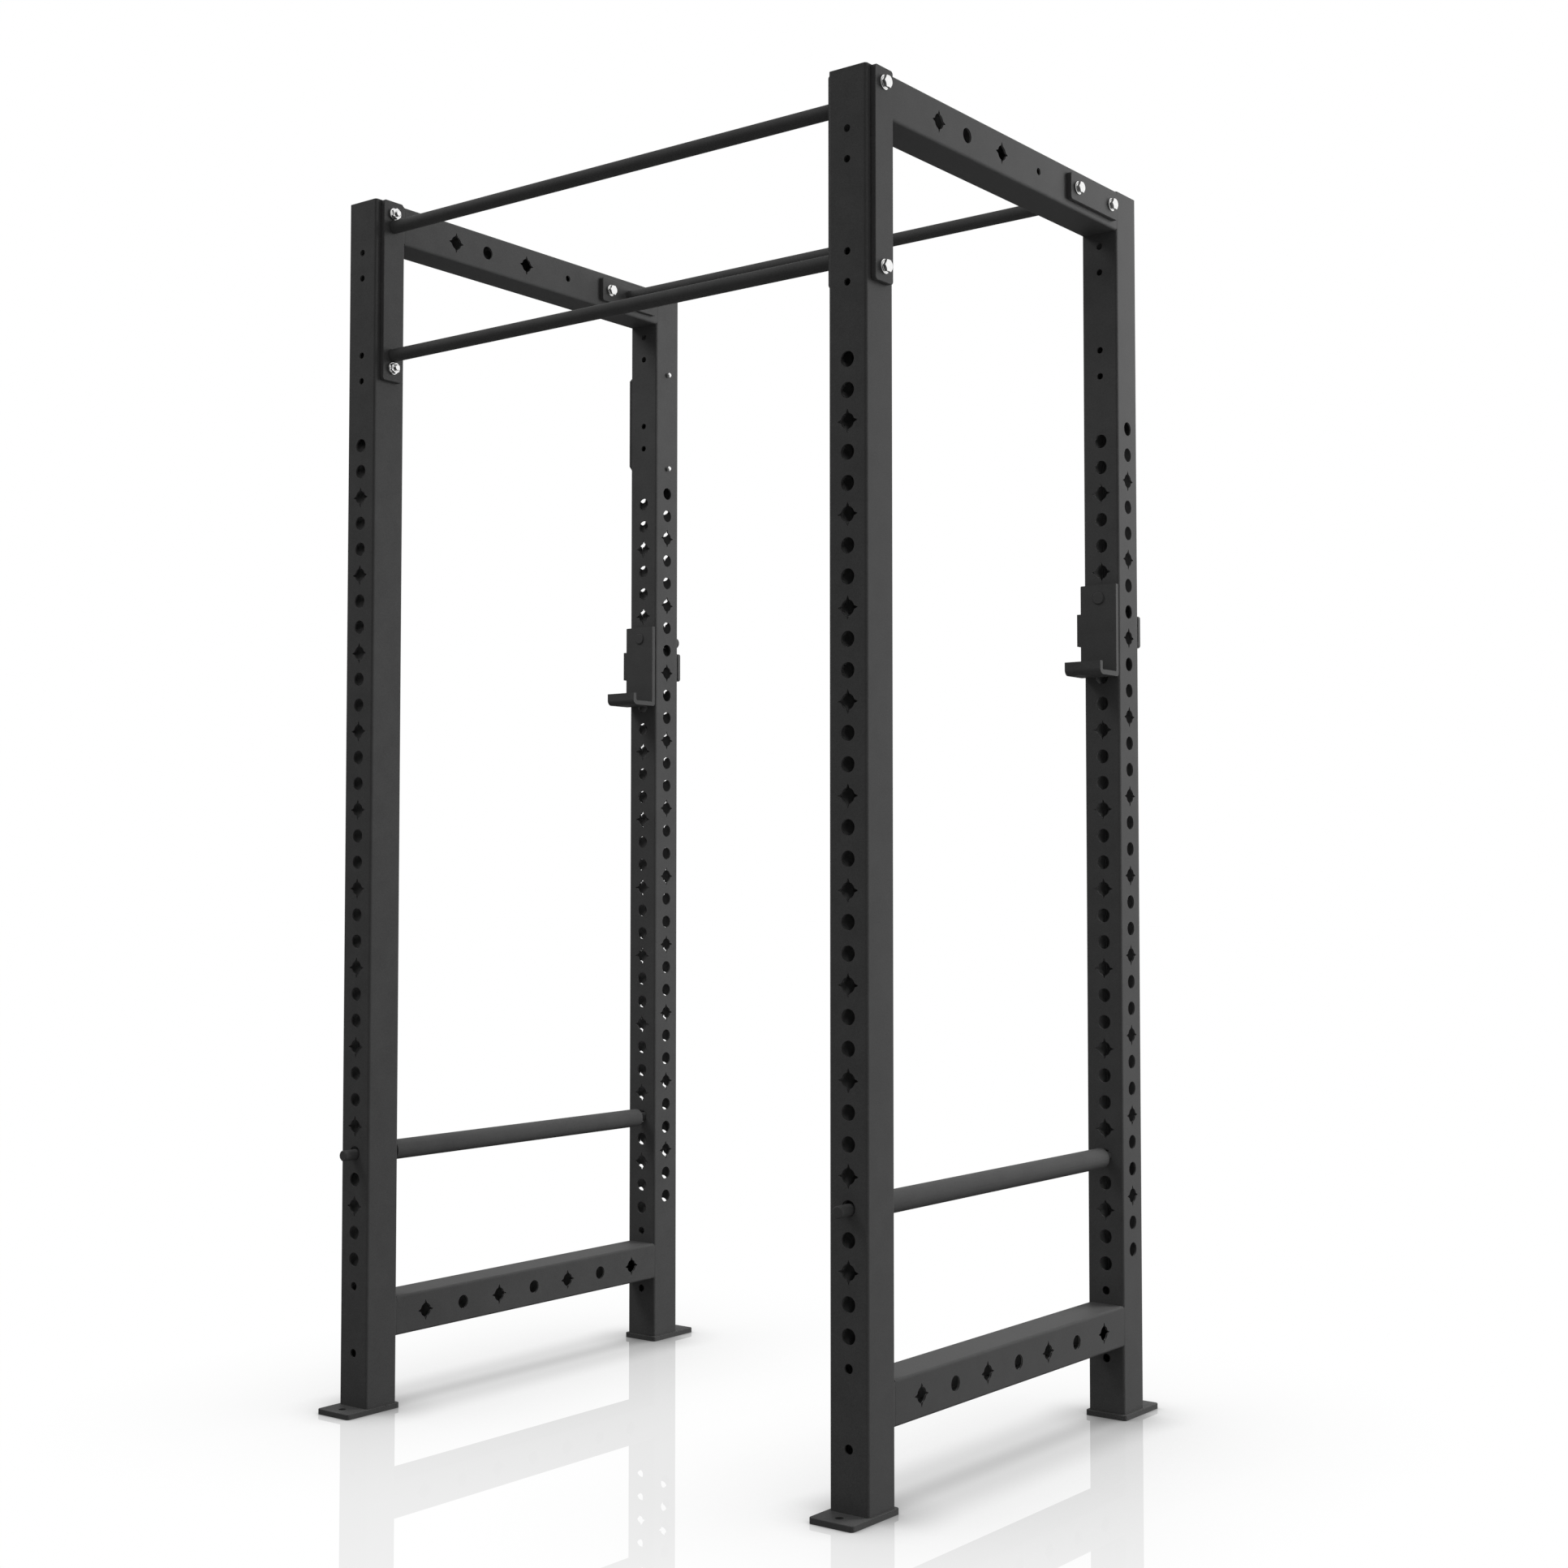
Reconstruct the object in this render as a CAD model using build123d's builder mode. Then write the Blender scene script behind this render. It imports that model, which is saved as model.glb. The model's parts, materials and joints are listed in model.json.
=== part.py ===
from build123d import *
import os
from math import cos, pi, sin, sqrt, tan

# Power cage: two welded side frames of square tube, joined by bolted cross bars, with pin and
# pipe safeties low down and a pair of J hooks on the rear uprights.
# Millimetres, +Z up, origin on the floor at the middle of the cage, the front facing -Y.

# Frame
frame_height = 2310.0  # floor to the tops of the uprights
upright_spacing_x = 1150.0  # left to right, centre to centre
upright_spacing_y = 825.0  # front to rear, centre to centre
bottom_beam_height = 172.5  # floor to the centre line of the bottom beams

# Square tube of the uprights and beams
tube_size = 75.0
tube_wall = 3.0
tube_inner_radius = 2.0

# Foot plates, which run out in front of the front uprights and behind the rear ones
foot_thickness = 10.0
foot_overhang = 50.0
foot_margin = 5.0
foot_corner_radius = 6.0
anchor_hole_diameter = 14.0

# Columns of pin holes, every third one a four pointed star
pin_hole_diameter = 26.0
pin_hole_pitch = 50.0
pin_hole_lowest = 285.0
pin_column_top_drop = 475.0  # top of the upright to the highest hole
side_column_raise = 25.0  # the rear uprights' side holes sit this much higher
star_every = 3
star_tip_radius = 20.0
star_waist_radius = 8.5

# Smaller holes in the front and rear faces of the uprights
spare_hole_diameter = 12.5
spare_hole_drops = (100.0, 150.0, 300.0, 350.0)  # below the top of the upright
lower_hole_diameter = 16.0
lower_hole_gap = 25.0  # above and below the bottom beam

# Holes along the side beams
bottom_hole_pitch = 100.0
bottom_hole_end_margin = 60.0
top_star_offsets = (137.5, 337.5)  # from the front end of the top beam
top_round_offset = 225.0
top_small_offset = 462.5
top_small_diameter = 13.0

# Cross bars and the flat plates on their ends
bar_diameter = 25.0
plate_width = 50.0
plate_thickness = 9.5
plate_corner_radius = 5.5
plate_edge_break = 0.8
plate_bolt_inset = 25.0
front_plate_length = 350.0
bar_washer_gap = 0.5  # front bar to the washer beside it
rear_plate_length = 175.0
rear_plate_end_gap = 12.5  # rear plate to the rear upright

# Hexagon bolts, washers and nuts of the cross bars
bolt_diameter = 12.0
bolt_hole_clearance = 1.0  # on the diameter
bolt_head_flats = 19.0
bolt_head_height = 7.5
bolt_tail = 4.0  # thread past the nut
thread_clearance = 0.1
nut_height = 7.0
washer_diameter = 24.0
washer_thickness = 2.5

# Bare name plate on the outside of the rear left upright, on two through bolts
name_plate_width = 72.0
name_plate_height = 240.0
name_plate_thickness = 6.0
name_plate_corner = 24.0
name_plate_drop = 289.0  # top of the upright to the plate's middle
name_bolt_inset = 15.0  # end of the name plate to the bolt
name_bolt_diameter = 10.0
name_bolt_clearance = 0.5  # on the diameter
name_bolt_head_diameter = 17.5
name_bolt_head_height = 5.0
name_bolt_head_round = 2.5
name_bolt_tail = 8.0

# Safeties: a rod through both uprights of a side, with a loose pipe on it between them
safety_row = 4  # pin hole counted up from the lowest
safety_rod_clearance = 6.0  # pin hole diameter less rod diameter
rod_front_stand_out = 30.0
rod_rear_stand_out = 15.0
pipe_diameter = 38.0
pipe_wall = 3.0
pipe_end_gap = 18.0
bush_length = 25.0
bush_fit_clearance = 0.1
bush_bore_clearance = 0.4

# J hooks on the front of the rear uprights
hook_rows_below_top = 6
hook_pin_clearance = 2.0  # pin hole diameter less pin diameter
hook_bore_clearance = 0.5
hook_pin_stand_out = 2.0  # in front of the hook plate
hook_pin_tail = 36.0  # behind the upright
hook_thickness = 9.0
hook_gap = 3.0  # hook plate to the upright
hook_above_pin = 25.0
hook_below_pin = 150.0
hook_tray_depth = 52.5
hook_lip_height = 25.0
hook_front_bend_radius = 2.0  # inside
hook_rear_bend_radius = 6.0  # outside
hook_corner_radius = 2.0
strap_thickness = 8.0
strap_gap = 0.8  # strap to the upright
strap_drop = 28.5  # pin to the top of the strap
strap_height = 61.0
strap_end_inset = 0.5
strap_bend_radius = 3.0  # inside
strap_corner_radius = 5.0

rest_clearance = 0.3  # a rod or pin lying in its hole
rod_chamfer = 1.5

# Worked out from the above
side_names = {-1: "left", 1: "right"}
end_names = {-1: "front", 1: "rear"}
half_tube = tube_size / 2
tube_inside = tube_size - 2 * tube_wall
upright_x = upright_spacing_x / 2
upright_y = upright_spacing_y / 2
beam_length = upright_spacing_y - tube_size
top_beam_height = frame_height - half_tube
lower_hole_heights = [bottom_beam_height + end * (half_tube + lower_hole_gap) for end in (-1, 1)]
bolt_hole_radius = (bolt_diameter + bolt_hole_clearance) / 2
grip = tube_size + 2 * plate_thickness

pin_row_count = int((frame_height - pin_column_top_drop - pin_hole_lowest) / pin_hole_pitch + 0.001) + 1
bottom_holes_each_way = int((beam_length / 2 - bottom_hole_end_margin) / bottom_hole_pitch)

front_plate_height = frame_height - front_plate_length / 2  # centre
front_bar_inset = plate_bolt_inset + (washer_diameter + bar_diameter) / 2 + bar_washer_gap
front_bolt_heights = [
    front_plate_height + end * (front_plate_length / 2 - plate_bolt_inset) for end in (-1, 1)
]
front_bar_heights = {
    name: front_plate_height + end * (front_plate_length / 2 - front_bar_inset)
    for name, end in (("lower", -1), ("upper", 1))
}
rear_plate_y = beam_length / 2 - rear_plate_end_gap - rear_plate_length / 2  # centre
rear_bolt_ys = [rear_plate_y + end * (rear_plate_length / 2 - plate_bolt_inset) for end in (-1, 1)]

name_plate_z = frame_height - name_plate_drop
name_bolt_spacing = name_plate_height - 2 * name_bolt_inset
name_bolt_heights = [name_plate_z + end * name_bolt_spacing / 2 for end in (-1, 1)]

safety_rod_diameter = pin_hole_diameter - safety_rod_clearance
safety_z = pin_hole_lowest + safety_row * pin_hole_pitch - safety_rod_clearance / 2 + rest_clearance
pipe_length = beam_length - 2 * pipe_end_gap
pipe_bore = pipe_diameter - 2 * pipe_wall

hook_row = pin_row_count - 1 - hook_rows_below_top
hook_pin_diameter = pin_hole_diameter - hook_pin_clearance
hook_z = pin_hole_lowest + hook_row * pin_hole_pitch - hook_pin_clearance / 2 + rest_clearance
hook_back = -hook_gap  # from the upright's front face, forward negative
hook_front = hook_back - hook_thickness


def write(piece, name):
    piece.part.label = name
    export_step(piece.part, f"parts/{name}.step")


def across(x, y, z):
    """Plane facing +X at a point, drawn on as (Y, Z)."""
    return Plane(origin=(x, y, z), x_dir=(0, 1, 0), z_dir=(1, 0, 0))


def facing_front(x, y, z):
    """Plane facing -Y at a point, drawn on as (X, Z)."""
    return Plane(origin=(x, y, z), x_dir=(1, 0, 0), z_dir=(0, -1, 0))


def tube_section():
    RectangleRounded(tube_size, tube_size, tube_inner_radius + tube_wall)
    RectangleRounded(tube_inside, tube_inside, tube_inner_radius, mode=Mode.SUBTRACT)


def star_outline():
    points = []
    for corner in range(8):
        radius = star_waist_radius if corner % 2 else star_tip_radius
        points.append((radius * cos(corner * pi / 4), radius * sin(corner * pi / 4)))
    return points


def pin_holes(round_points, star_points):
    with Locations(*round_points, *star_points):
        Circle(pin_hole_diameter / 2)
    with Locations(*star_points):
        Polygon(*star_outline())


def pin_column(lowest):
    rows = [(row, (0, lowest + row * pin_hole_pitch)) for row in range(pin_row_count)]
    stars = [point for row, point in rows if row % star_every == star_every - 1]
    pin_holes([point for row, point in rows if point not in stars], stars)


# Uprights, open at the top, with their pin holes, bolt holes and foot plates
for end in (-1, 1):
    for side in (-1, 1):
        corner = f"{end_names[end]}_{side_names[side]}"
        x = side * upright_x
        y = end * upright_y

        with BuildPart() as upright:
            with BuildSketch(Plane(origin=(x, y, foot_thickness))):
                tube_section()
            extrude(amount=frame_height - foot_thickness)
            with BuildSketch(facing_front(x, y, 0)):
                pin_column(pin_hole_lowest)
                with Locations(*[(0, frame_height - drop) for drop in spare_hole_drops]):
                    Circle(spare_hole_diameter / 2)
                with Locations(*[(0, height) for height in lower_hole_heights]):
                    Circle(lower_hole_diameter / 2)
            extrude(amount=tube_size, both=True, mode=Mode.SUBTRACT)
            with BuildSketch(across(x, y, 0)):
                if end < 0:
                    with Locations(*[(0, height) for height in front_bolt_heights]):
                        Circle(bolt_hole_radius)
                else:
                    pin_column(pin_hole_lowest + side_column_raise)
                    if side < 0:
                        with Locations(*[(0, height) for height in name_bolt_heights]):
                            Circle((name_bolt_diameter + name_bolt_clearance) / 2)
            extrude(amount=tube_size, both=True, mode=Mode.SUBTRACT)
        write(upright, f"{corner}_upright")

        foot_length = tube_size + foot_overhang + foot_margin
        foot_shift = (foot_overhang - foot_margin) / 2
        with BuildPart() as foot_plate:
            with BuildSketch(Plane(origin=(x, y + end * foot_shift, 0))):
                RectangleRounded(tube_size + 2 * foot_margin, foot_length, foot_corner_radius)
                with Locations((0, end * (half_tube + foot_overhang / 2 - foot_shift))):
                    Circle(anchor_hole_diameter / 2, mode=Mode.SUBTRACT)
            extrude(amount=foot_thickness)
            top_rim = foot_plate.faces().sort_by(Axis.Z)[-1].outer_wire().edges()
            chamfer(top_rim, plate_edge_break)
        write(foot_plate, f"{corner}_foot_plate")

# Side beams, which fill the gap between the front and rear uprights of a side
for side in (-1, 1):
    x = side * upright_x
    front_end = -beam_length / 2

    with BuildPart() as top_beam:
        with BuildSketch(facing_front(x, -front_end, top_beam_height)):
            tube_section()
        extrude(amount=beam_length)
        with BuildSketch(across(x, 0, top_beam_height)):
            stars = [(front_end + offset_y, 0) for offset_y in top_star_offsets]
            pin_holes([(front_end + top_round_offset, 0)], stars)
            with Locations((front_end + top_small_offset, 0)):
                Circle(top_small_diameter / 2)
            with Locations(*[(bolt_y, 0) for bolt_y in rear_bolt_ys]):
                Circle(bolt_hole_radius)
        extrude(amount=tube_size, both=True, mode=Mode.SUBTRACT)
    write(top_beam, f"{side_names[side]}_top_beam")

    with BuildPart() as bottom_beam:
        with BuildSketch(facing_front(x, -front_end, bottom_beam_height)):
            tube_section()
        extrude(amount=beam_length)
        with BuildSketch(across(x, 0, bottom_beam_height)):
            steps = range(-bottom_holes_each_way, bottom_holes_each_way + 1)
            rounds = [(step * bottom_hole_pitch, 0) for step in steps if step % 2 == 0]
            stars = [(step * bottom_hole_pitch, 0) for step in steps if step % 2]
            pin_holes(rounds, stars)
        extrude(amount=tube_size, both=True, mode=Mode.SUBTRACT)
    write(bottom_beam, f"{side_names[side]}_bottom_beam")

# Cross bars, which run between the plates on the inner faces
bar_length = upright_spacing_x - tube_size - 2 * plate_thickness
bars = {
    "front_upper_bar": (-upright_y, front_bar_heights["upper"]),
    "front_lower_bar": (-upright_y, front_bar_heights["lower"]),
    "rear_bar": (rear_plate_y, top_beam_height),
}
for name, (y, z) in bars.items():
    with BuildPart() as bar:
        with BuildSketch(across(-bar_length / 2, y, z)):
            Circle(bar_diameter / 2)
        extrude(amount=bar_length)
    write(bar, name)


def flat_plate(x, y, z, width, height, bolt_points):
    """Plate of the cross bars with its low X face at x, centred on y and z."""
    with BuildPart() as plate:
        with BuildSketch(across(x, y, z)):
            RectangleRounded(width, height, plate_corner_radius)
            with Locations(*bolt_points):
                Circle(bolt_hole_radius, mode=Mode.SUBTRACT)
        extrude(amount=plate_thickness)
        rims = [face.outer_wire().edges() for face in plate.faces().filter_by(Axis.X)]
        chamfer(rims[0] + rims[1], plate_edge_break)
    return plate


front_bolts = [(0, end * (front_plate_length / 2 - plate_bolt_inset)) for end in (-1, 1)]
rear_bolts = [(end * (rear_plate_length / 2 - plate_bolt_inset), 0) for end in (-1, 1)]
for side in (-1, 1):
    faces = {"end_plate": -side, "backing_plate": side}  # towards the cage, or away from it
    for kind, way in faces.items():
        low_x = side * upright_x + way * (half_tube + plate_thickness / 2) - plate_thickness / 2
        front_plate = flat_plate(
            low_x, -upright_y, front_plate_height, plate_width, front_plate_length, front_bolts
        )
        write(front_plate, f"front_{side_names[side]}_{kind}")
        rear_plate = flat_plate(
            low_x, rear_plate_y, top_beam_height, rear_plate_length, plate_width, rear_bolts
        )
        write(rear_plate, f"rear_{side_names[side]}_{kind}")

# One bolt, two washers and one nut about the middle of a grip along X, the head towards +X
seat = grip / 2 + washer_thickness
hex_corner = bolt_head_flats / sqrt(3)
hex_land = 0.475 * bolt_head_flats  # flat round of a chamfered hexagon
hex_chamfer = (hex_corner - hex_land) * tan(pi / 6)


def hexagon(start, height, turn):
    """Hexagonal prism along X, from start to start + height, its far corners chamfered."""
    far = start + height
    shoulder = far - hex_chamfer if height > 0 else far + hex_chamfer
    with BuildPart() as prism:
        with BuildSketch(across(start, 0, 0)):
            RegularPolygon(bolt_head_flats / 2, 6, major_radius=False, rotation=turn)
        extrude(amount=height)
        with BuildSketch(Plane.XY):
            with BuildLine():
                Polyline(
                    (start, 0),
                    (start, hex_corner),
                    (shoulder, hex_corner),
                    (far, hex_land),
                    (far, 0),
                    close=True,
                )
            make_face()
        revolve(axis=Axis.X, mode=Mode.INTERSECT)
    return prism.part


bolt_head = hexagon(seat, bolt_head_height, 0)
with BuildPart() as one_bolt:
    add(bolt_head)
    with BuildSketch(across(seat, 0, 0)):
        Circle(bolt_diameter / 2)
    extrude(amount=-(2 * seat + nut_height + bolt_tail))
    chamfer(one_bolt.edges().filter_by(GeomType.CIRCLE).sort_by(Axis.X)[0], rod_chamfer)

nut_blank = hexagon(-seat, -nut_height, 90)
with BuildPart() as one_nut:
    add(nut_blank)
    with BuildSketch(across(-seat, 0, 0)):
        Circle(bolt_diameter / 2 + thread_clearance)
    extrude(amount=-nut_height, mode=Mode.SUBTRACT)

with BuildPart() as washer_pair:
    with BuildSketch(across(-seat, 0, 0), across(grip / 2, 0, 0)):
        Circle(washer_diameter / 2)
        Circle(bolt_hole_radius, mode=Mode.SUBTRACT)
    extrude(amount=washer_thickness)

# The front heads all face out of the cage; the rear heads all face +X
for side in (-1, 1):
    front_turn = 0 if side > 0 else 180
    stacks = {
        "front": [
            Location((side * upright_x, -upright_y, z), (0, 0, front_turn)) for z in front_bolt_heights
        ],
        "rear": [Location((side * upright_x, y, top_beam_height)) for y in rear_bolt_ys],
    }
    for end_name, places in stacks.items():
        for kind, single in (("bolts", one_bolt), ("nuts", one_nut), ("washers", washer_pair)):
            with BuildPart() as fasteners:
                with Locations(*places):
                    add(single.part)
            write(fasteners, f"{end_name}_{side_names[side]}_{kind}")

# Name plate
name_plate_x = -upright_x - half_tube - name_plate_thickness
with BuildPart() as name_plate:
    with BuildSketch(across(name_plate_x, upright_y, name_plate_z)) as outline:
        Rectangle(name_plate_width, name_plate_height)
        chamfer(outline.vertices(), name_plate_corner)
        with Locations(*[(0, end * name_bolt_spacing / 2) for end in (-1, 1)]):
            Circle((name_bolt_diameter + name_bolt_clearance) / 2, mode=Mode.SUBTRACT)
    extrude(amount=name_plate_thickness)
    outer_rim = name_plate.faces().sort_by(Axis.X)[0].outer_wire().edges()
    chamfer(outer_rim, plate_edge_break)
write(name_plate, "name_plate")

with BuildPart() as name_bolts:
    with BuildSketch(across(name_plate_x, upright_y, name_plate_z)):
        with Locations(*[(0, end * name_bolt_spacing / 2) for end in (-1, 1)]):
            Circle(name_bolt_head_diameter / 2)
    extrude(amount=-name_bolt_head_height)
    fillet(name_bolts.faces().sort_by(Axis.X)[:2].edges(), name_bolt_head_round)
    with BuildSketch(across(name_plate_x, upright_y, name_plate_z)):
        with Locations(*[(0, end * name_bolt_spacing / 2) for end in (-1, 1)]):
            Circle(name_bolt_diameter / 2)
    extrude(amount=name_plate_thickness + tube_size + name_bolt_tail)
    chamfer(name_bolts.faces().sort_by(Axis.X)[-2:].edges(), rod_chamfer)
write(name_bolts, "name_plate_bolts")

# Safeties
rod_front_y = -upright_y - half_tube - rod_front_stand_out
rod_length = upright_spacing_y + tube_size + rod_front_stand_out + rod_rear_stand_out
for side in (-1, 1):
    x = side * upright_x

    with BuildPart() as rod:
        with BuildSketch(facing_front(x, rod_front_y, safety_z)):
            Circle(safety_rod_diameter / 2)
        extrude(amount=-rod_length)
        chamfer(rod.edges().filter_by(GeomType.CIRCLE), rod_chamfer)
    write(rod, f"{side_names[side]}_safety_rod")

    with BuildPart() as pipe:
        with BuildSketch(facing_front(x, -pipe_length / 2, safety_z)):
            Circle(pipe_diameter / 2)
            Circle(pipe_bore / 2, mode=Mode.SUBTRACT)
        extrude(amount=-pipe_length)
    write(pipe, f"{side_names[side]}_safety_pipe")

    with BuildPart() as bushes:
        bush_fronts = (-pipe_length / 2, pipe_length / 2 - bush_length)
        with BuildSketch(*[facing_front(x, y, safety_z) for y in bush_fronts]):
            Circle(pipe_bore / 2 - bush_fit_clearance)
            Circle(safety_rod_diameter / 2 + bush_bore_clearance, mode=Mode.SUBTRACT)
        extrude(amount=-bush_length)
    write(bushes, f"{side_names[side]}_pipe_bushes")

# J hooks: a bent hook plate, a strap round the upright's left side and back, and a pull pin
hook_face_y = upright_y - half_tube
lip_inner = hook_front - hook_tray_depth
lip_outer = lip_inner - hook_thickness
tray_floor = hook_thickness - hook_below_pin
strap_inner = half_tube + strap_gap
strap_outer = strap_inner + strap_thickness
strap_back = tube_size + strap_gap
for side in (-1, 1):
    x = side * upright_x

    with BuildPart() as hook_plate:
        with BuildSketch(across(x - strap_inner, hook_face_y, hook_z)) as hook_profile:
            with BuildLine():
                Polyline(
                    (hook_back, hook_above_pin),
                    (hook_back, -hook_below_pin),
                    (lip_outer, -hook_below_pin),
                    (lip_outer, hook_lip_height - hook_below_pin),
                    (lip_inner, hook_lip_height - hook_below_pin),
                    (lip_inner, tray_floor),
                    (hook_front, tray_floor),
                    (hook_front, hook_above_pin),
                    close=True,
                )
            make_face()
            bends = (
                ((lip_outer, -hook_below_pin), hook_front_bend_radius + hook_thickness),
                ((lip_inner, tray_floor), hook_front_bend_radius),
                ((hook_back, -hook_below_pin), hook_rear_bend_radius),
            )
            for place, radius in bends:
                fillet(hook_profile.vertices().sort_by_distance(place)[0], radius)
        extrude(amount=strap_inner + half_tube)
        top_corners = hook_plate.edges().filter_by(Axis.Y).group_by(Axis.Z)[-1]
        fillet(top_corners, hook_corner_radius)
        with BuildSketch(facing_front(x, hook_face_y + hook_back, hook_z)):
            Circle(hook_pin_diameter / 2 + hook_bore_clearance)
        extrude(amount=hook_thickness, mode=Mode.SUBTRACT)
    write(hook_plate, f"{side_names[side]}_hook_plate")

    with BuildPart() as strap:
        strap_low = Plane(origin=(x, hook_face_y, hook_z - strap_drop - strap_height))
        with BuildSketch(strap_low) as strap_profile:
            with BuildLine():
                Polyline(
                    (-strap_outer, hook_front),
                    (-strap_outer, strap_back + strap_thickness),
                    (half_tube - strap_end_inset, strap_back + strap_thickness),
                    (half_tube - strap_end_inset, strap_back),
                    (-strap_inner, strap_back),
                    (-strap_inner, hook_front),
                    close=True,
                )
            make_face()
            outer_corner = (-strap_outer, strap_back + strap_thickness)
            inner_corner = (-strap_inner, strap_back)
            fillet(
                strap_profile.vertices().sort_by_distance(outer_corner)[0],
                strap_bend_radius + strap_thickness,
            )
            fillet(strap_profile.vertices().sort_by_distance(inner_corner)[0], strap_bend_radius)
        extrude(amount=strap_height)
        free_end = strap.edges().filter_by(Axis.Y).group_by(Axis.X)[-1]
        fillet(free_end, strap_corner_radius)
    write(strap, f"{side_names[side]}_hook_strap")

    with BuildPart() as hook_pin:
        with BuildSketch(facing_front(x, hook_face_y + hook_front - hook_pin_stand_out, hook_z)):
            Circle(hook_pin_diameter / 2)
        extrude(amount=-(hook_pin_stand_out - hook_front + tube_size + hook_pin_tail))
        chamfer(hook_pin.edges().filter_by(GeomType.CIRCLE), rod_chamfer)
    write(hook_pin, f"{side_names[side]}_hook_pin")
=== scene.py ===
import json
import math
import bpy
from mathutils import Matrix, Vector


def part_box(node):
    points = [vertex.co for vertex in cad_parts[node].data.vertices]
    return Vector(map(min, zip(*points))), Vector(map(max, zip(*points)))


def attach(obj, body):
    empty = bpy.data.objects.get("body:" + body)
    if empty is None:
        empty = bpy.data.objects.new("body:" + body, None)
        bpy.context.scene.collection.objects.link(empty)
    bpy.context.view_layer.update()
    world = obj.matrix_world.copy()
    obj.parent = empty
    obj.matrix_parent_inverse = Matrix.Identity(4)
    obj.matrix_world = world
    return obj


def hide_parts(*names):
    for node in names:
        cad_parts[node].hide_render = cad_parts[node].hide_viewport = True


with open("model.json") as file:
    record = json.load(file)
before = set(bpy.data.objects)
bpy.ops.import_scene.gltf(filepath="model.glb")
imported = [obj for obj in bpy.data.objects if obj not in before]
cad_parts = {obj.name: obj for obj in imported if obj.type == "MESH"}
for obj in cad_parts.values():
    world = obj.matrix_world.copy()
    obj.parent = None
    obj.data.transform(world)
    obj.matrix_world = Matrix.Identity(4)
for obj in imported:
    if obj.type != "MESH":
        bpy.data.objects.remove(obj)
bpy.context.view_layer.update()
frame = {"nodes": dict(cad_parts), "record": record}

nodes = frame["nodes"]
corners = [f"{end}_{side}" for end in ("front", "rear") for side in ("left", "right")]
print("loaded", len(nodes), "nodes")


# A shader socket that adds Math nodes when it is used in a sum
class Wire:
    def __init__(self, tree, socket=None):
        self.tree = tree
        self.socket = socket

    def plug(self, target, value):
        if isinstance(value, Wire):
            self.tree.links.new(value.socket, target)
        else:
            target.default_value = value

    def node(self, kind, settings=None, inputs=None, output=0):
        made = self.tree.nodes.new(kind)
        for name, value in (settings or {}).items():
            setattr(made, name, value)
        for name, value in (inputs or {}).items():
            self.plug(made.inputs[name], value)
        return Wire(self.tree, made.outputs[output])

    def other(self, output):  # another output of the same node
        return Wire(self.tree, self.socket.node.outputs[output])

    def sum(self, operation, first, second):
        return self.node("ShaderNodeMath", {"operation": operation}, {0: first, 1: second})

    def __add__(self, value):
        return self.sum("ADD", self, value)

    def __radd__(self, value):
        return self.sum("ADD", value, self)

    def __sub__(self, value):
        return self.sum("SUBTRACT", self, value)

    def __rsub__(self, value):
        return self.sum("SUBTRACT", value, self)

    def __mul__(self, value):
        return self.sum("MULTIPLY", self, value)

    def __rmul__(self, value):
        return self.sum("MULTIPLY", value, self)

    def __pow__(self, value):
        return self.sum("POWER", self, value)

    def most(self, value):
        return self.sum("MAXIMUM", self, value)

    def below(self, value):  # 1 where this is less
        return self.sum("LESS_THAN", self, value)

    def apart(self, value):  # distance between two numbers
        return self.sum("ABSOLUTE", self - value, 0.0)

    def mix(self, low, high):  # two numbers by this factor
        return self.node("ShaderNodeMix", {"data_type": "FLOAT"}, {0: self, 2: low, 3: high})

    def blend(self, low, high):  # two colours by this factor
        return self.node("ShaderNodeMix", {"data_type": "RGBA"}, {0: self, 6: low, 7: high}, 2)

    def between(self, low, high):  # 0 at low to 1 at high, eased
        return self.node(
            "ShaderNodeMapRange", {"interpolation_type": "SMOOTHSTEP"},
            {0: self, 1: low, 2: high, 3: 0.0, 4: 1.0},
        )


def grey(level):
    return (level, level, level, 1)


def newMaterial(name):
    material = bpy.data.materials.new(name)
    material.use_nodes = True
    tree = material.node_tree
    shader = next(n for n in tree.nodes if n.type == "BSDF_PRINCIPLED")
    return material, Wire(tree), shader


def noise(wire, place, scale, detail):
    return wire.node("ShaderNodeTexNoise", inputs={"Vector": place, "Scale": scale, "Detail": detail})


def addBump(wire, shader, height, look):
    bump = wire.node(
        "ShaderNodeBump",
        inputs={"Height": height, "Strength": look["bump"], "Distance": look["bumpDepth"]},
    )
    wire.plug(shader.inputs["Normal"], bump)


# A pattern's scale is per metre, and shade, rough and height say how much it counts there
powderCoat = {
    "dark": grey(0.043),
    "light": grey(0.066),
    "grain": {"scale": 950.0, "detail": 2.0, "shade": 0.6, "rough": 0.2, "height": 0.55},
    "peel": {"scale": 330.0, "detail": 1.0, "shade": 0.15, "height": 0.45},
    "mottle": {"scale": 22.0, "detail": 3.0, "shade": 0.25, "rough": 0.16},
    "shadeEdge": (0.25, 0.75),
    "roughness": 0.62,
    "specular": 0.07,
    "bump": 0.25,
    "bumpDepth": 0.0003,
}

# Tubes are bare steel inside, where the powder doesn't reach. Each inside tone is partly that steel and
# partly painted light: the beams' insides are lighter than the uprights' to stand for light that gets in
# through their holes
tubeInside = {
    "wall": 0.003,
    "intoWall": 0.0007,  # so that the inner face is bare
    "uprightInsideDim": grey(0.085),
    "beamInsideLit": grey(0.22),
}


def middleOf(name):
    low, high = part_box(name)
    return (low + high) / 2


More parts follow.
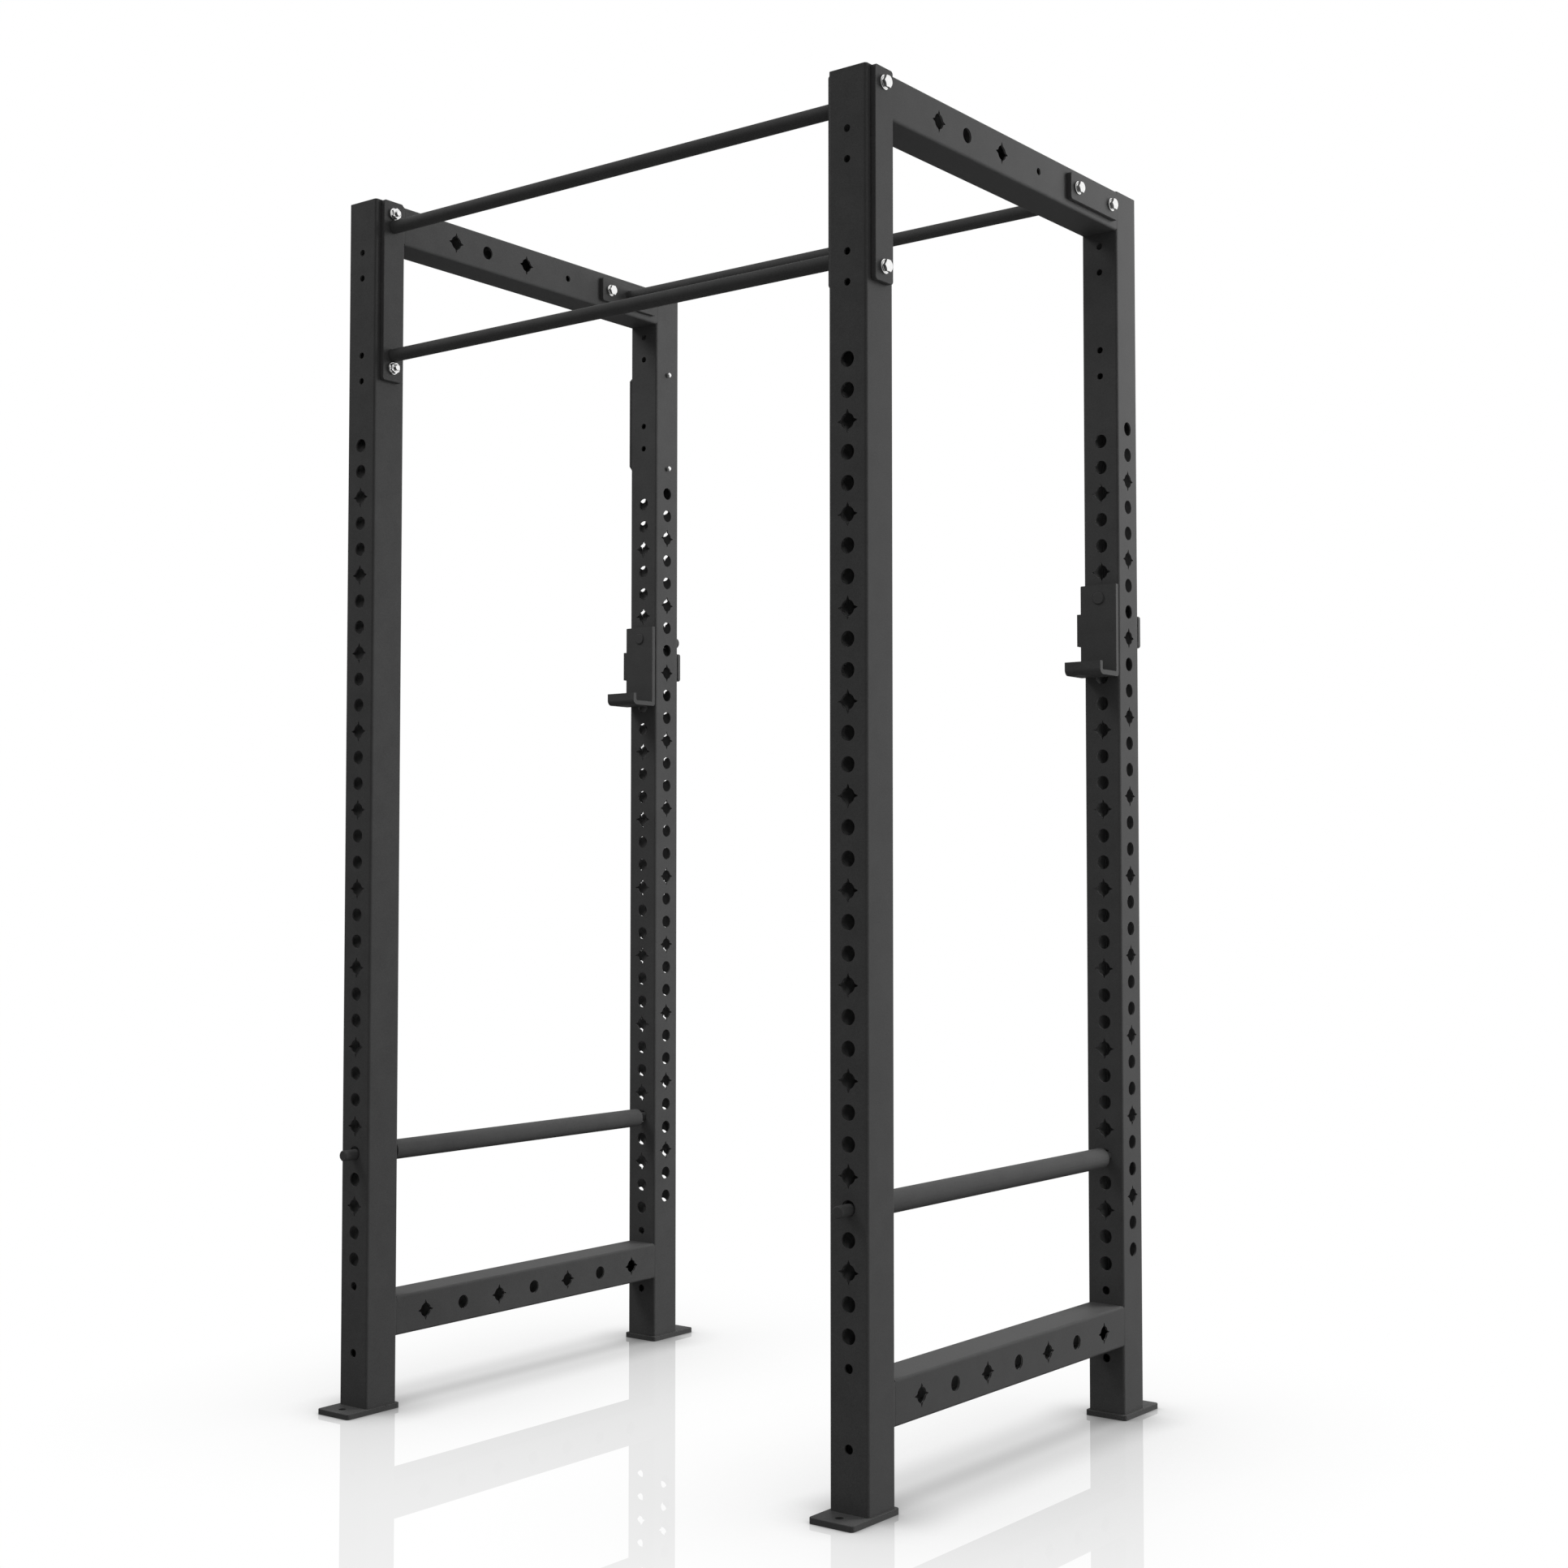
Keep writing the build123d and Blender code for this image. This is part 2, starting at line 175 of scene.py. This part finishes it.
def bareInside(wire, place, coat, tube):
    low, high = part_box("right_bottom_beam")
    reach = (high.x - low.x) / 2 - tube["wall"] + tube["intoWall"]  # from a tube's middle line
    upright = middleOf("rear_right_upright")
    x = wire.node("ShaderNodeSeparateXYZ", inputs={0: place}, output="X")
    y, z = x.other("Y"), x.other("Z")
    sideways = x.apart(0.0).apart(upright.x).below(reach)
    inUpright = sideways * y.apart(0.0).apart(upright.y).below(reach)
    heights = [middleOf(f"right_{level}_beam").z for level in ("bottom", "top")]
    inLow, inHigh = [z.apart(height).below(reach) for height in heights]
    inBeam = sideways * inLow.most(inHigh) * y.apart(0.0).below(high.y)
    # Painted light: the beams' insides are lighter than the uprights'
    bare = inBeam.blend(coat, tube["beamInsideLit"])
    return inUpright.blend(bare, tube["uprightInsideDim"])


def makePowderCoat(name, look, tube=None):
    material, wire, shader = newMaterial(name)
    place = wire.node("ShaderNodeTexCoord", output="Object")
    grainLook, peelLook, mottleLook = look["grain"], look["peel"], look["mottle"]
    grain = noise(wire, place, grainLook["scale"], grainLook["detail"])
    peel = noise(wire, place, peelLook["scale"], peelLook["detail"])
    mottle = noise(wire, place, mottleLook["scale"], mottleLook["detail"])
    shade = grain * grainLook["shade"] + peel * peelLook["shade"] + mottle * mottleLook["shade"]
    colour = shade.between(*look["shadeEdge"]).blend(look["dark"], look["light"])
    if tube:
        colour = bareInside(wire, place, colour, tube)
    wire.plug(shader.inputs["Base Color"], colour)
    roughness = look["roughness"] + (mottle - 0.5) * mottleLook["rough"]
    wire.plug(shader.inputs["Roughness"], roughness + (grain - 0.5) * grainLook["rough"])
    shader.inputs["Specular IOR Level"].default_value = look["specular"]
    addBump(wire, shader, grain * grainLook["height"] + peel * peelLook["height"], look)
    return material


zincPlate = {
    "dull": grey(0.86),
    "bright": (0.95, 0.95, 0.94, 1),
    "spangle": 260.0,
    "spangleDetail": 3.0,
    "spangleEdge": (0.3, 0.7),
    "spangleRough": 0.08,
    "roughness": 0.09,
    "bump": 0.03,
    "bumpDepth": 0.0004,
}


def makeZincPlate(look):
    material, wire, shader = newMaterial("zincPlate")
    place = wire.node("ShaderNodeTexCoord", output="Object")
    spangle = noise(wire, place, look["spangle"], look["spangleDetail"])
    colour = spangle.between(*look["spangleEdge"]).blend(look["dull"], look["bright"])
    wire.plug(shader.inputs["Base Color"], colour)
    wire.plug(shader.inputs["Roughness"], look["roughness"] + (spangle - 0.5) * look["spangleRough"])
    shader.inputs["Metallic"].default_value = 1.0
    addBump(wire, shader, spangle, look)
    return material


bushPlastic = {
    "dark": grey(0.018),
    "light": grey(0.030),
    "pebble": 1400.0,
    "pebbleEdge": (0.1, 0.7),
    "pebbleRough": 0.15,
    "roughness": 0.55,
    "bump": 0.2,
    "bumpDepth": 0.0002,
}


def makeBushPlastic(look):
    material, wire, shader = newMaterial("bushPlastic")
    place = wire.node("ShaderNodeTexCoord", output="Object")
    pebble = wire.node("ShaderNodeTexVoronoi", inputs={"Vector": place, "Scale": look["pebble"]})
    colour = pebble.between(*look["pebbleEdge"]).blend(look["dark"], look["light"])
    wire.plug(shader.inputs["Base Color"], colour)
    wire.plug(shader.inputs["Roughness"], look["roughness"] + pebble * look["pebbleRough"])
    addBump(wire, shader, pebble, look)
    return material


finishes = {
    "powder_coat": makePowderCoat("powderCoat", powderCoat),
    "zinc_plate": makeZincPlate(zincPlate),
    "black_plastic": makeBushPlastic(bushPlastic),
}
tubeCoat = makePowderCoat("tubeCoat", powderCoat, tubeInside)


def paint(obj, material):
    obj.data.materials.clear()
    obj.data.materials.append(material)


for subpart in frame["record"]["subparts"]:
    name = subpart["node"]
    hollow = name.endswith(("upright", "beam"))
    paint(nodes[name], tubeCoat if hollow else finishes[subpart["material_slot"]])
print("painted the nodes")


def deselect():
    if bpy.context.object and bpy.context.object.mode != "OBJECT":
        bpy.ops.object.mode_set(mode="OBJECT")
    bpy.ops.object.select_all(action="DESELECT")


def choose(obj):
    deselect()
    obj.select_set(True)
    bpy.context.view_layer.objects.active = obj


def smooth(obj, angle):
    choose(obj)
    bpy.ops.object.shade_smooth_by_angle(angle=angle)


def applyModifier(obj, kind, **settings):
    choose(obj)
    modifier = obj.modifiers.new(kind.lower(), kind)
    for name, value in settings.items():
        setattr(modifier, name, value)
    bpy.ops.object.modifier_apply(modifier=modifier.name)


def cutWith(obj, cutter, operation):
    applyModifier(obj, "BOOLEAN", operation=operation, solver="EXACT", object=cutter)
    bpy.data.objects.remove(cutter)


def roundEdges(obj, size):
    applyModifier(
        obj, "BEVEL", width=size["edgeRound"], segments=size["edgeSegments"],
        limit_method="ANGLE", angle_limit=size["edgeAngle"],
    )
    smooth(obj, size["smooth"])


startSize = 0.01  # of a plane that is merged to the first point of a line
mergeReach = 1e-6


# A line drawn point by point, left selected in edit mode
def drawLine(name, points):
    deselect()
    bpy.ops.mesh.primitive_plane_add(size=startSize)
    line = bpy.context.object
    line.name = name
    bpy.ops.object.mode_set(mode="EDIT")
    bpy.ops.mesh.select_all(action="SELECT")
    bpy.ops.mesh.merge(type="CENTER")
    bpy.ops.transform.translate(value=points[0])
    for point, nextPoint in zip(points, points[1:]):
        step = [after - before for before, after in zip(point, nextPoint)]
        bpy.ops.mesh.extrude_region_move(TRANSFORM_OT_translate={"value": step})
    bpy.ops.mesh.select_all(action="SELECT")
    return line


# A profile of (x, radius) points, spun round the X axis
def spinProfile(name, points, steps):
    turned = drawLine(name, [(x, 0, radius) for x, radius in points])
    bpy.ops.mesh.spin(steps=steps, angle=2 * math.pi, center=(0, 0, 0), axis=(1, 0, 0))
    bpy.ops.mesh.select_all(action="SELECT")
    bpy.ops.mesh.remove_doubles(threshold=mergeReach)
    bpy.ops.mesh.normals_make_consistent(inside=False)
    bpy.ops.object.mode_set(mode="OBJECT")
    return turned


# Six sided bar along X between two places, a corner or a flat at the top
def hexBar(name, start, end, flats, cornerUp):
    deselect()
    corner = flats / math.sqrt(3)
    bpy.ops.mesh.primitive_cylinder_add(vertices=6, radius=corner, depth=end - start)
    bar = bpy.context.object
    bar.name = name
    turn = Matrix.Rotation(math.pi / 2, 4, "Y")
    if cornerUp:
        turn = Matrix.Rotation(math.pi / 6, 4, "X") @ turn
    bar.data.transform(Matrix.Translation(((start + end) / 2, 0, 0)) @ turn)
    return bar


fastener = {
    "headFlats": 0.019,
    "headHeight": 0.0075,
    "faceHeight": 0.0006,  # washer face under the head
    "land": 0.475,  # radius of a hexagon's flat top, as a share of its flats
    "trimSpare": 1.02,  # how far the trim reaches, as a share of the corners
    "nutHeight": 0.007,
    "nutMouth": 0.0006,  # countersink of the nut's bore
    "boltRadius": 0.006,
    "boreGap": 0.0001,
    "pitch": 0.00175,
    "threadDepth": 0.0009,
    "threadTurns": 9,
    "tail": 0.004,
    "tipChamfer": 0.0015,
    "washerHole": 0.0065,
    "washerRound": 0.0005,
    "edgeRound": 0.0003,
    "edgeSegments": 2,
    "edgeAngle": math.radians(40),  # steeper edges are rounded
    "overlap": 0.001,  # of a joined or cut body past the face
    "steps": 48,
    "smooth": math.radians(25),  # steeper edges stay sharp, so flats reflect as flats
}


# Round body that trims a hexagon's corners at thirty degrees
def hexTrim(start, end, size, bothEnds):
    corner = size["headFlats"] / math.sqrt(3) * size["trimSpare"]
    land = size["headFlats"] * size["land"]
    slope = (corner - land) * math.tan(math.pi / 6)
    points = [(end, 0), (end, land), (end - slope, corner)]
    points += [(start + slope, corner), (start, land)] if bothEnds else [(start, corner)]
    points.append((start, 0))
    return spinProfile("hexTrim", points, size["steps"])


# Bolt with its head towards +X, about the middle of the grip
def modelBolt(seat, size):
    top = seat + size["headHeight"]
    face = seat + size["faceHeight"]
    bolt = hexBar("hexBolt", face, top, size["headFlats"], cornerUp=False)
    cutWith(bolt, hexTrim(face, top, size, bothEnds=False), "INTERSECT")
    roundEdges(bolt, size)
    radius = size["boltRadius"]
    land = size["headFlats"] * size["land"]
    tip = -seat - size["nutHeight"] - size["tail"]
    threadStart = tip + size["tipChamfer"] + size["threadTurns"] * size["pitch"]
    root = radius - size["threadDepth"]
    inHead = face + size["overlap"]
    points = [(inHead, 0), (inHead, land), (seat, land), (seat, radius), (threadStart, radius)]
    for turn in range(size["threadTurns"]):
        crest = threadStart - turn * size["pitch"]
        points += [(crest - size["pitch"] / 2, root), (crest - size["pitch"], radius)]
    points += [(tip, radius - size["tipChamfer"]), (tip, 0)]
    cutWith(bolt, spinProfile("shank", points, size["steps"]), "UNION")
    smooth(bolt, size["smooth"])
    return bolt


def modelNut(seat, size):
    outer, inner = -seat - size["nutHeight"], -seat
    nut = hexBar("hexNut", outer, inner, size["headFlats"], cornerUp=True)
    cutWith(nut, hexTrim(outer, inner, size, bothEnds=True), "INTERSECT")
    bore = size["boltRadius"] + size["boreGap"]
    sink, overlap = size["nutMouth"], size["overlap"]
    mouth = bore + sink
    points = [
        (outer - overlap, 0), (outer - overlap, mouth), (outer, mouth), (outer + sink, bore),
        (inner - sink, bore), (inner, mouth), (inner + overlap, mouth), (inner + overlap, 0),
    ]
    cutWith(nut, spinProfile("nutBore", points, size["steps"]), "DIFFERENCE")
    roundEdges(nut, size)
    return nut


# The pair of washers, one at each end of the grip
def modelWashers(inner, seat, outerRadius, size):
    hole, rounding = size["washerHole"], size["washerRound"]
    points = [
        (inner, hole), (inner, outerRadius - rounding), (inner + rounding, outerRadius),
        (seat - rounding, outerRadius), (seat, outerRadius - rounding), (seat, hole + rounding),
        (seat - rounding, hole), (inner, hole),
    ]
    washer = spinProfile("washerPair", points, size["steps"])
    choose(washer)
    bpy.ops.object.mode_set(mode="EDIT")
    bpy.ops.mesh.select_all(action="SELECT")
    bpy.ops.mesh.duplicate()
    bpy.ops.transform.mirror(constraint_axis=(True, False, False), center_override=(0, 0, 0))
    bpy.ops.mesh.select_all(action="SELECT")
    bpy.ops.mesh.normals_make_consistent(inside=False)
    bpy.ops.object.mode_set(mode="OBJECT")
    smooth(washer, size["smooth"])
    return washer


# One piece from copies of a model, each moved by its own matrix
def joinCopies(model, name, moves):
    copies = []
    for move in moves:
        copy = bpy.data.objects.new(name, model.data.copy())
        bpy.context.scene.collection.objects.link(copy)
        copy.data.transform(move)
        copies.append(copy)
    choose(copies[0])
    for copy in copies[1:]:
        copy.select_set(True)
    bpy.ops.object.join()
    copies[0].name = name
    return copies[0]


def makeFasteners(size):
    low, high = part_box("front_left_washers")
    seat = (high.x - low.x) / 2
    radius = (high.y - low.y) / 2
    plates = [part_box(f"front_left_{kind}_plate") for kind in ("end", "backing")]
    inner = (max(p[1].x for p in plates) - min(p[0].x for p in plates)) / 2
    models = {
        "bolts": modelBolt(seat, size),
        "nuts": modelNut(seat, size),
        "washers": modelWashers(inner, seat, radius, size),
    }
    for corner in corners:
        low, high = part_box(f"{corner}_washers")
        middle = (low + high) / 2
        reach = (high - low) / 2
        upward = reach.z > reach.y  # the pair stands one above the other
        along = Vector((0, 0, reach.z - radius)) if upward else Vector((0, reach.y - radius, 0))
        boltLow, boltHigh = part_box(f"{corner}_bolts")
        headRight = boltHigh.x - middle.x < middle.x - boltLow.x  # the tail reaches further than the head
        turn = Matrix.Rotation(0 if headRight else math.pi, 4, "Z")
        moves = [Matrix.Translation(place) @ turn for place in (middle - along, middle + along)]
        for kind, model in models.items():
            piece = joinCopies(model, f"{corner}_{kind}_turned", moves)
            paint(piece, finishes["zinc_plate"])
            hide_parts(f"{corner}_{kind}")
            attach(piece, "frame")
    for model in models.values():
        bpy.data.objects.remove(model)


makeFasteners(fastener)
print("turned the bolts, nuts and washers")

weld = {
    "cornerRadius": 0.005,  # of the tubes
    "arcSteps": 8,
    "sink": 0.0002,  # below the faces that it joins
    "overrun": 0.002,  # onto the beam's rounded edges
    "edgeRound": 0.001,
    "edgeSegments": 2,
    "edgeAngle": 1.0,
    "smooth": math.radians(40),
}


# Filler between a beam's end and the round corner of an upright, its corner at the origin
def modelWeld(height, size):
    radius, sink = size["cornerRadius"], size["sink"]
    turns = [math.pi / 2 * step / size["arcSteps"] for step in range(size["arcSteps"] + 1)]
    outline = [(-radius * (1 - math.cos(turn)), -radius * math.sin(turn)) for turn in turns]
    outline = [(min(x, -sink), -radius - y) for x, y in outline] + [(-sink, 0)]
    filler = drawLine("weldFiller", [(x, y, -height / 2) for x, y in outline])
    bpy.ops.mesh.edge_face_add()
    bpy.ops.mesh.extrude_region_move(TRANSFORM_OT_translate={"value": (0, 0, height)})
    bpy.ops.mesh.select_all(action="SELECT")
    bpy.ops.mesh.normals_make_consistent(inside=False)
    bpy.ops.object.mode_set(mode="OBJECT")
    roundEdges(filler, size)
    return filler


def makeWelds(size):
    low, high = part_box("left_bottom_beam")
    model = modelWeld(high.z - low.z - 2 * (size["cornerRadius"] - size["overrun"]), size)
    for beam in [f"{side}_{level}_beam" for side in ("left", "right") for level in ("bottom", "top")]:
        low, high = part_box(beam)
        moves = []
        for x, wayX in ((low.x, -1), (high.x, 1)):
            for y, wayY in ((low.y, 1), (high.y, -1)):
                mirrored = Matrix.Diagonal((wayX, wayY, 1, 1))
                moves.append(Matrix.Translation((x, y, (low.z + high.z) / 2)) @ mirrored)
        welds = joinCopies(model, f"{beam}_welds", moves)
        bpy.ops.object.mode_set(mode="EDIT")
        bpy.ops.mesh.select_all(action="SELECT")
        bpy.ops.mesh.normals_make_consistent(inside=False)  # a mirrored copy is inside out
        bpy.ops.object.mode_set(mode="OBJECT")
        paint(welds, finishes["powder_coat"])
        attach(welds, "frame")
    bpy.data.objects.remove(model)


makeWelds(weld)
print("filled the welds")

camera = {
    "place": (2.5898, -3.25677, 1.0011),
    "forward": (-0.60612, 0.79414, 0.04415),
    "lens": 50.0,
    "sensor": 36.0,
}


def makeCamera(look):
    data = bpy.data.cameras.new("photoCamera")
    data.lens = look["lens"]
    data.sensor_width = look["sensor"]
    eye = bpy.data.objects.new("photoCamera", data)
    bpy.context.scene.collection.objects.link(eye)
    eye.location = look["place"]
    eye.rotation_euler = Vector(look["forward"]).to_track_quat("-Z", "Y").to_euler()
    bpy.context.scene.camera = eye


makeCamera(camera)

floor = {
    "size": 80.0,
    "bounce": 0.27,  # what the object sees of the floor
    "wideShadeReach": 0.6,
    "wideShade": 0.65,  # power of the open share of the sky, for the floor's painted wide shade
    "contactShadeReach": 0.12,
    "contactShade": 0.9,
    "skySamples": 16,
    "beamShade": {"core": ((0.0, 0.05), 0.17), "edge": ((0.045, 0.15), 0.24)},  # where it fades, how deep
    "shadeEnd": (0.36, 0.46),  # from the middle of a beam
    "shineIor": 1.22,
}


# Painted shadow under the side beams, where a lamp overhead would cast one, 0 to 1
def beamShade(wire, look):
    place = wire.node("ShaderNodeTexCoord", output="Object")
    x = wire.node("ShaderNodeSeparateXYZ", inputs={0: place}, output="X")
    across = x.apart(0.0).apart(middleOf("right_bottom_beam").x)
    along = 1 - x.other("Y").apart(0.0).between(*look["shadeEnd"])
    return along * sum(depth * (1 - across.between(*edge)) for edge, depth in look["beamShade"].values())


def openSky(wire, reach, samples):
    return wire.node("ShaderNodeAmbientOcclusion", {"samples": samples}, {"Distance": reach}, "AO")


# Seen by the camera the floor is white where nothing stands over it, with painted shade where things stand
# over it and a faint mirror shine
def makeFloor(look):
    deselect()
    bpy.ops.mesh.primitive_plane_add(size=look["size"])
    ground = bpy.context.object
    ground.name = "studioFloor"
    material, wire, shader = newMaterial("paleFloor")
    out = next(n for n in wire.tree.nodes if n.type == "OUTPUT_MATERIAL")
    seen = wire.node("ShaderNodeLightPath", output="Is Camera Ray")
    matt = wire.node("ShaderNodeBsdfDiffuse", inputs={"Color": grey(look["bounce"])})
    wideShade = openSky(wire, look["wideShadeReach"], look["skySamples"]) ** look["wideShade"]
    contactShade = openSky(wire, look["contactShadeReach"], look["skySamples"]) ** look["contactShade"]
    # Painted shade on the floor from how much sky is open nearby, times the painted shadow under the beams
    light = (wideShade * contactShade * (1 - beamShade(wire, look))).blend(grey(0), grey(1))
    white = wire.node("ShaderNodeEmission", inputs={"Color": light})
    mirror = wire.node("ShaderNodeBsdfAnisotropic", inputs={"Color": grey(1), "Roughness": 0.0})
    shine = wire.node("ShaderNodeFresnel", inputs={"IOR": look["shineIor"]})
    shown = wire.node("ShaderNodeMixShader", inputs={0: shine, 1: white, 2: mirror})
    mixed = wire.node("ShaderNodeMixShader", inputs={0: seen, 1: matt, 2: shown})
    wire.plug(out.inputs["Surface"], mixed)
    wire.tree.nodes.remove(shader)
    paint(ground, material)
    ground.visible_glossy = False  # metal sees the sky's own dark and white sides instead


makeFloor(floor)

sky = {
    "even": 0.39,
    "overhead": 1.0,
    "overheadPower": 6.0,
    "shineDark": 0.03,  # what metal sees on the near left
    "shineWay": (0.7, 0.5, 0.25),  # towards the white side
    "shineEdge": (0.12, 0.5),  # from dark to white
    "behindEdge": (0.45, 0.75),  # the same towards the backdrop
    "belowEdge": (-0.5, 0.1),  # where that fades towards the floor
}


# White to the camera, a soft light to the coat, and a dark and a white side to the metal
def makeSky(look, forward):
    world = bpy.data.worlds.new("studioSky")
    bpy.context.scene.world = world
    world.use_nodes = True
    wire = Wire(world.node_tree)
    background = next(n for n in world.node_tree.nodes if n.type == "BACKGROUND")
    ray = wire.node("ShaderNodeTexCoord", output="Generated")
    x = wire.node("ShaderNodeSeparateXYZ", inputs={0: ray}, output="X")
    y, z = x.other("Y"), x.other("Z")
    soft = look["even"] + look["overhead"] * z.most(0.0) ** look["overheadPower"]
    way = look["shineWay"]
    rightSide = (way[0] * x + way[1] * y + way[2] * z).between(*look["shineEdge"])
    behind = (forward[0] * x + forward[1] * y).between(*look["behindEdge"])
    white = rightSide.most(behind * z.between(*look["belowEdge"]))
    shiny = look["shineDark"] + white * (1 - look["shineDark"])
    cameraRay = wire.node("ShaderNodeLightPath", output="Is Camera Ray")
    clear = cameraRay.most(cameraRay.other("Is Transmission Ray")).most(cameraRay.other("Is Singular Ray"))
    glossyRay = cameraRay.other("Is Glossy Ray")
    wire.plug(background.inputs["Strength"], clear.mix(glossyRay.mix(soft, shiny), 1.0))
    background.inputs["Color"].default_value = grey(1)


makeSky(sky, camera["forward"])

lamps = {
    "keyLamp": {"place": (2.26, 2.26, 2.6), "aim": (0, 0, 1.2), "size": 2.0, "power": 168.0},
    "topLamp": {"place": (-3, -1.5, 5), "aim": (0, 0, 1.2), "size": 2.0, "power": 165.0},
    "rightLamp": {"place": (2.6, 0, 0.8), "aim": (0, 0, 1.2), "size": 2.0, "power": 5.0},
}


def makeLamp(name, look):
    data = bpy.data.lights.new(name, "AREA")
    data.shape = "DISK"
    data.size = look["size"]
    data.energy = look["power"]
    lamp = bpy.data.objects.new(name, data)
    bpy.context.scene.collection.objects.link(lamp)
    lamp.location = look["place"]
    aim = Vector(look["aim"]) - Vector(look["place"])
    lamp.rotation_euler = aim.to_track_quat("-Z", "Y").to_euler()
    lamp.visible_camera = False
    lamp.visible_glossy = False


for name, look in lamps.items():
    makeLamp(name, look)
bpy.context.scene.view_settings.view_transform = "Standard"
print("studio ready")
